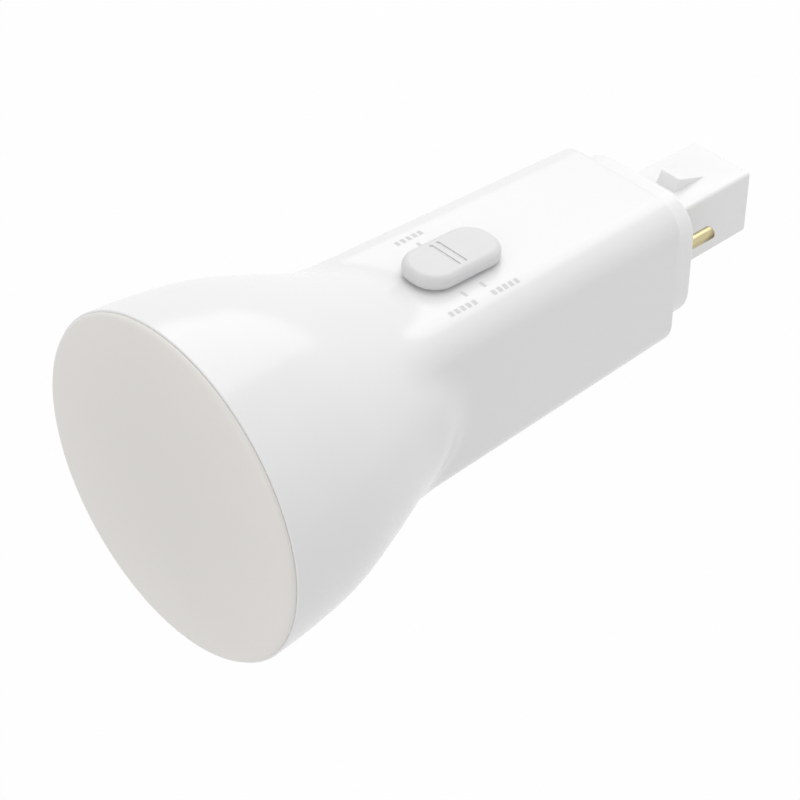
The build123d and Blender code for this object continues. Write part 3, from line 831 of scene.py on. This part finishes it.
class LAMP_OT_housing(bpy.types.Operator):
    """Moulds the housing: horn, neck, sleeve and the selector's slot"""

    bl_idname = "lamp.mould_housing"
    bl_label = "Mould Housing"

    def execute(self, context):
        sizes, selector = context.scene.lamp_housing, context.scene.lamp_selector
        material = white_gloss(context.scene.lamp_finish.white_gloss)
        nodes, key = skin_rule()
        shell = baked("housing_tube", tube("housing_tube", housing_rows(sizes), SKIN_SIDES), [("NODES", {
            "node_group": nodes, key["Rim Radius"]: sizes.rim_radius, key["Rim"]: sizes.rim_place,
            key["Horn Length"]: sizes.horn_length, key["Sleeve End"]: sizes.sleeve_end,
            key["End Half"]: sizes.end_half, key["Draft"]: sizes.draft, key["Corner"]: sizes.corner_radius,
            key["Neck Blend"]: sizes.neck_blend, key["Material"]: material,
        })])
        cutter = bpy.data.objects.new("slot_cutter", slot_cutter(sizes, selector))
        context.scene.collection.objects.link(cutter)
        mesh = baked("housing_shell", shell, [
            ("BOOLEAN", {"object": cutter, "operation": "DIFFERENCE", "solver": "EXACT"}),
        ])
        bpy.data.objects.remove(cutter)
        finished("housing_shell", smooth(mesh, 32.0), material, "lamp", ["housing"])
        return {"FINISHED"}


class LAMP_OT_diffuser(bpy.types.Operator):
    """Seats the opal diffuser over the rim, with its skirt in the horn"""

    bl_idname = "lamp.seat_diffuser"
    bl_label = "Seat Diffuser"

    def execute(self, context):
        sizes = context.scene.lamp_housing
        front, back, radius = DIFFUSER_LOW.y, DIFFUSER_HIGH.y, DIFFUSER_HIGH.x
        rim, edge, seam = sizes.rim_place, sizes.diffuser_edge, sizes.diffuser_seam
        flat = radius - sizes.diffuser_shoulder
        steps = [i / CROWN_STEPS for i in range(CROWN_STEPS)]
        profile = [(flat * step, front + sizes.crown * step**2) for step in steps]
        for across, along in arc((0.0, 0.0), 1.0, -90, 0, SHOULDER_STEPS):
            place = front + sizes.crown + edge * (1.0 + along)
            profile.append((flat + sizes.diffuser_shoulder * across, place))
        profile += arc((radius - seam, rim - seam), seam, 0, 90, SEAM_STEPS)
        inside = sizes.skirt_radius - sizes.skirt_wall
        profile += [(sizes.skirt_radius, rim), (sizes.skirt_radius, back), (inside, back), (inside, rim)]
        profile.append((0.0, rim))
        mesh = smooth(turned("diffuser_cap", profile, DIFFUSER_SIDES), 40.0)
        material = opal(context.scene.lamp_finish.opal)
        finished("diffuser_cap", mesh, material, "lamp", ["diffuser"])
        return {"FINISHED"}


class LAMP_OT_selector(bpy.types.Operator):
    """Fits the sliding selector knob with softened edges"""

    bl_idname = "lamp.fit_selector"
    bl_label = "Fit Selector"

    def execute(self, context):
        selector = context.scene.lamp_selector
        tilt = math.atan(context.scene.lamp_housing.draft)
        up = Vector((0.0, math.sin(tilt), math.cos(tilt)))
        blank, top = knob_blank("selector_slider", up)
        mesh = baked("selector_slider", blank, [
            ("BEVEL", {"width": selector.knob_round, "segments": 4, "limit_method": "WEIGHT"}),
        ])
        depths = [(vert, top - up.dot(vert.co)) for vert in mesh.vertices if in_grooves(vert.co)]
        cuts = [(vert, depth) for vert, depth in depths if LEVEL < depth < SHOULDER_DEPTH]
        lift = 1.0 - selector.groove_depth / max(depth for vert, depth in cuts)
        for vert, depth in cuts:
            vert.co += up * depth * lift
        smooth(mesh, 40.0)
        for face in mesh.polygons:
            face.use_smooth = face.normal.dot(up) < FACES_UP
        material = grey_satin(context.scene.lamp_finish.grey_satin)
        finished("selector_slider", mesh, material, "selector", ["selector_knob"])
        return {"FINISHED"}


class LAMP_OT_marks(bpy.types.Operator):
    """Prints the three position marks beside the selector"""

    bl_idname = "lamp.print_marks"
    bl_label = "Print Marks"

    def execute(self, context):
        sizes, selector = context.scene.lamp_housing, context.scene.lamp_selector
        material = ink(context.scene.lamp_finish.ink)
        across, along = selector.mark_middle, KNOB_MIDDLE.y
        nodes, key = mark_rule()
        thickness = 2 * selector.print_thickness
        run = selector.stroke_pitch * (selector.stroke_count - 1)
        marks = []
        for side, tick, start, share in MARKS:
            marks.append(baked("mark", bpy.data.meshes.new("mark"), [("NODES", {
                "node_group": nodes,
                key["Tick Place"]: (
                    across + side * (selector.tick_start + selector.tick_length / 2), along + tick, 0.0
                ),
                key["Tick Size"]: (selector.tick_length, selector.tick_width, thickness),
                key["Row Start"]: (across + side * selector.row_place, along + start + share * run, 0.0),
                key["Row Step"]: (0.0, selector.stroke_pitch, 0.0),
                key["Strokes"]: selector.stroke_count,
                key["Stroke Size"]: (selector.stroke_height, selector.stroke_width, thickness),
                key["Sleeve End"]: sizes.sleeve_end, key["End Half"]: sizes.end_half,
                key["Draft"]: sizes.draft, key["Corner"]: sizes.corner_radius, key["Material"]: material,
            })]))
        finished("position_marks", joined("position_marks", marks), material, "lamp", ())
        return {"FINISHED"}


class LAMP_OT_base(bpy.types.Operator):
    """Fits the base cap with its keyed post and latch wedges"""

    bl_idname = "lamp.fit_base"
    bl_label = "Fit Base Cap"

    def execute(self, context):
        edge = context.scene.lamp_housing.base_edge
        mesh = baked("base_moulding", merged_copy("base_moulding", "base_cap"), [
            ("BEVEL", {"width": edge, "segments": 3, "limit_method": "ANGLE", "angle_limit": BASE_STEEP}),
        ])
        material = bpy.data.materials["white_gloss"]
        finished("base_moulding", smooth(mesh, 40.0), material, "lamp", ["base_cap"])
        return {"FINISHED"}


class LAMP_OT_pins(bpy.types.Operator):
    """Turns the two brass contact pins"""

    bl_idname = "lamp.turn_pins"
    bl_label = "Turn Pins"

    def execute(self, context):
        material = brass(context.scene.lamp_finish.pin_brass)
        for node, name in (("pin_near", "contact_near"), ("pin_far", "contact_far")):
            low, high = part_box(node)
            centre = ((low.x + high.x) / 2, (low.z + high.z) / 2)
            head, end = -PIN_SEAT - PIN_HEAD, high.y - PIN_TIP
            profile = [(0.0, low.y), (PIN_TAIL_RADIUS - TAIL_EDGE, low.y)]
            profile += [(PIN_TAIL_RADIUS, low.y + TAIL_EDGE), (PIN_TAIL_RADIUS, head)]
            profile += [(PIN_HEAD_RADIUS - HEAD_EDGE, head), (PIN_HEAD_RADIUS, head + HEAD_EDGE)]
            profile += [(PIN_HEAD_RADIUS, -PIN_SEAT), (PIN_SHANK_RADIUS, -PIN_SEAT)]
            profile += [(PIN_SHANK_RADIUS, -PIN_RECESS), (PIN_RADIUS, -PIN_RECESS)]
            profile += [(PIN_RADIUS, end * i / WALL_STEPS) for i in range(WALL_STEPS)]
            profile += arc((PIN_RADIUS - PIN_TIP, end), PIN_TIP, 0, 90, TIP_STEPS)
            profile.append((0.0, high.y))
            mesh = smooth(turned(name, profile, PIN_SIDES, centre), 40.0)
            finished(name, mesh, material, "lamp", [node])
        return {"FINISHED"}


class LAMP_OT_light_engine(bpy.types.Operator):
    """Finishes the heat spreader, the LED board and the LED packages behind the diffuser"""

    bl_idname = "lamp.finish_light_engine"
    bl_label = "Finish Light Engine"

    def execute(self, context):
        tints = context.scene.lamp_finish
        dress("heat_spreader", sheet_metal("bare_aluminium", tints.bare_aluminium, gloss=0.34, grain=900.0))
        dress("led_board", moulded("white_mask", tints.white_mask, gloss=0.5, grain=2400.0))
        dress("board_screws", sheet_metal("screw_steel", tints.screw_steel, gloss=0.28, grain=2600.0))
        dress("led_plug", moulded("white_nylon", tints.white_nylon, gloss=0.42, grain=2000.0))
        for node, slot in (("leds_warm", "phosphor_warm"), ("leds_cool", "phosphor_cool")):
            dress(node, bpy.data.materials["white_nylon"])
            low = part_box(node)[0].y
            material = moulded(slot, getattr(tints, slot), gloss=0.3, grain=3200.0)
            places = [(c.x, low, c.z) for c in package_centres(node)]
            name, turn = f"{slot}_windows", (math.pi / 2, 0.0, 0.0)
            mesh = drops(name, places, WINDOW_RADIUS, WINDOW_HEIGHT, turn, material)
            finished(name, mesh, material, "lamp", ())
        return {"FINISHED"}


class LAMP_OT_driver(bpy.types.Operator):
    """Finishes the driver board, its components, the switch and the wires"""

    bl_idname = "lamp.finish_driver"
    bl_label = "Finish Driver"

    def execute(self, context):
        tints = context.scene.lamp_finish
        dress("driver_board", circuit_board(tints.green_board))
        core = ferrite(tints.ferrite)
        dress("transformer_core", core)
        dress("input_choke", core)
        dress("transformer_winding", tape(tints.winding_tape))
        first, last = (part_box("bulk_capacitor")[1].y + place for place in CAN_BAND)
        can = banded_coat("can_sleeve", tints.can_sleeve, SILVER, first, last, 1)
        dress("bulk_capacitor", can)
        dress("output_capacitor", can)
        dress("film_capacitor", moulded("film_yellow", tints.film_yellow, gloss=0.24, grain=1500.0))
        low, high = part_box("fuse_resistor")
        third = (high.x - low.x) / 3
        first, last = low.x + third, low.x + 1.4 * third
        dress("fuse_resistor", banded_coat("resistor_coat", tints.resistor_coat, GOLD, first, last, 0))
        coat = moulded("varistor_coat", tints.varistor_coat, gloss=0.2, grain=700.0, depth=0.00002)
        dress("varistor", coat)
        epoxy = moulded("black_epoxy", tints.black_epoxy, gloss=0.5, grain=3000.0, depth=0.00001)
        for node in ("bridge_rectifier", "driver_chip", "chip_parts", "switch_toggle"):
            dress(node, epoxy)
        dress("switch_body", sheet_metal("switch_metal", tints.switch_metal, gloss=0.3, grain=1800.0))
        dress("input_wires", moulded("wire_red", tints.wire_red, gloss=0.36, grain=1600.0))
        dress("output_wires", moulded("wire_white", tints.wire_white, gloss=0.36, grain=1600.0))
        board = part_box("driver_board")[1].z
        places = []
        for node in ("bulk_capacitor", "output_capacitor", "film_capacitor", "fuse_resistor", "varistor"):
            low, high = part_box(node)
            middle, quarter = (low + high) / 2, (high.x - low.x) / 4
            places += [(middle.x + side * quarter, middle.y, board) for side in (-1, 1)]
        solder = sheet_metal("solder", tints.switch_metal, gloss=0.3, grain=2400.0)
        mesh = drops("solder_joints", places, SOLDER_RADIUS, SOLDER_HEIGHT, (0.0, 0.0, 0.0), solder)
        finished("solder_joints", mesh, solder, "lamp", ())
        return {"FINISHED"}


class LAMP_OT_stage(bpy.types.Operator):
    """Sets the floor, the light and the camera"""

    bl_idname = "lamp.set_stage"
    bl_label = "Set Stage"

    def execute(self, context):
        scene, stage = context.scene, context.scene.lamp_stage
        scene.view_settings.view_transform = "Standard"
        world = bpy.data.worlds.new("white_room")
        world.use_nodes = True
        scene.world = world
        tree = Tree(world.node_tree)
        lit = tree.value("ShaderNodeBackground", None, {"Color": WHITE, "Strength": stage.sky})
        white = tree.value("ShaderNodeBackground", None, {"Color": WHITE, "Strength": 1.0})
        seen = self.seen(tree)
        both = tree.value("ShaderNodeMixShader", None, {0: seen, 1: lit, 2: white})
        tree.node("ShaderNodeOutputWorld", None, {"Surface": both})
        self.floor(stage)
        for name, place, size, setting in LIGHTS:
            self.soft_light(name, place, size, getattr(stage, setting))
        self.camera(stage)
        return {"FINISHED"}

    def seen(self, tree):
        """1 where the camera, a reflection or clear matter looks, 0 for light on its way."""
        path = tree.node("ShaderNodeLightPath")
        names = ("Is Camera Ray", "Is Glossy Ray", "Is Transmission Ray")
        camera, glossy, clear = (Flow(tree, path.outputs[name]) for name in names)
        return camera.max(glossy).max(clear)

    def floor(self, stage):
        surface = Surface("pale_floor")
        cloth = surface.noise(30.0, 3.0)
        grey = surface.mix(cloth, *FLOOR_GREYS)
        lit = surface.value("ShaderNodeBsdfDiffuse", None, {"Color": grey})
        white = surface.value("ShaderNodeEmission", None, {"Color": WHITE, "Strength": 1.0})
        share = self.seen(surface) * stage.floor_glow
        both = surface.value("ShaderNodeMixShader", None, {0: share, 1: lit, 2: white})
        surface.node("ShaderNodeOutputMaterial", None, {"Surface": both})
        mesh = bpy.data.meshes.new("floor")
        corners = ((-1, -1), (1, -1), (1, 1), (-1, 1))
        places = [(FLOOR_HALF * x, FLOOR_HALF * y, stage.floor_place) for x, y in corners]
        mesh.from_pydata(places, [], [(0, 1, 2, 3)])
        mesh.materials.append(surface.material)
        floor = bpy.data.objects.new("floor", mesh)
        bpy.context.scene.collection.objects.link(floor)

    def soft_light(self, name, place, size, strength):
        data = bpy.data.lights.new(name, "AREA")
        data.size, data.energy = size, strength
        lamp = bpy.data.objects.new(name, data)
        lamp.location = place
        aim = Vector(LIGHT_AIM) - Vector(place)
        lamp.rotation_mode = "QUATERNION"
        lamp.rotation_quaternion = aim.to_track_quat("-Z", "Y")
        bpy.context.scene.collection.objects.link(lamp)

    def camera(self, stage):
        data = bpy.data.cameras.new("photo_view")
        data.lens, data.sensor_width = stage.lens, SENSOR_WIDTH
        data.clip_start, data.clip_end = CAMERA_CLIP
        camera = bpy.data.objects.new("photo_view", data)
        turn, rise = stage.azimuth, stage.elevation
        back = Vector((math.sin(turn) * math.cos(rise), -math.cos(turn) * math.cos(rise), math.sin(rise)))
        camera.location = stage.camera_place
        camera.rotation_mode = "QUATERNION"
        level = (-back).to_track_quat("-Z", "Y")
        camera.rotation_quaternion = level @ Quaternion((0.0, 0.0, 1.0), stage.roll)
        bpy.context.scene.collection.objects.link(camera)
        bpy.context.scene.camera = camera


OPERATORS = (
    LAMP_OT_housing, LAMP_OT_diffuser, LAMP_OT_selector, LAMP_OT_marks, LAMP_OT_base, LAMP_OT_pins,
    LAMP_OT_light_engine, LAMP_OT_driver, LAMP_OT_stage,
)
GROUPS = (
    ("lamp_housing", LampHousingSizes), ("lamp_selector", LampSelectorSizes),
    ("lamp_finish", LampFinish), ("lamp_stage", LampStageSettings),
)


class LAMP_PT_panel(bpy.types.Panel):
    """Lists the steps that dress the lamp, and their sizes"""

    bl_idname = "LAMP_PT_panel"
    bl_label = "Plug-in Lamp"
    bl_space_type = "VIEW_3D"
    bl_region_type = "UI"
    bl_category = "Lamp"

    def draw(self, context):
        for step in OPERATORS:
            self.layout.operator(step.bl_idname)
        for group_name, kind in GROUPS:
            chosen = getattr(context.scene, group_name)
            box = self.layout.box()
            for name in kind.__annotations__:
                box.prop(chosen, name)


def register():
    for name, kind in GROUPS:
        bpy.utils.register_class(kind)
        setattr(bpy.types.Scene, name, PointerProperty(type=kind))
    for kind in (*OPERATORS, LAMP_PT_panel):
        bpy.utils.register_class(kind)


def unregister():
    for kind in (LAMP_PT_panel, *reversed(OPERATORS)):
        bpy.utils.unregister_class(kind)
    for name, kind in reversed(GROUPS):
        delattr(bpy.types.Scene, name)
        bpy.utils.unregister_class(kind)


def main():
    register()
    bpy.ops.lamp.mould_housing()
    bpy.ops.lamp.seat_diffuser()
    bpy.ops.lamp.fit_selector()
    bpy.ops.lamp.print_marks()
    bpy.ops.lamp.fit_base()
    bpy.ops.lamp.turn_pins()
    bpy.ops.lamp.finish_light_engine()
    bpy.ops.lamp.finish_driver()
    bpy.ops.lamp.set_stage()


if __name__ == "__main__":
    main()
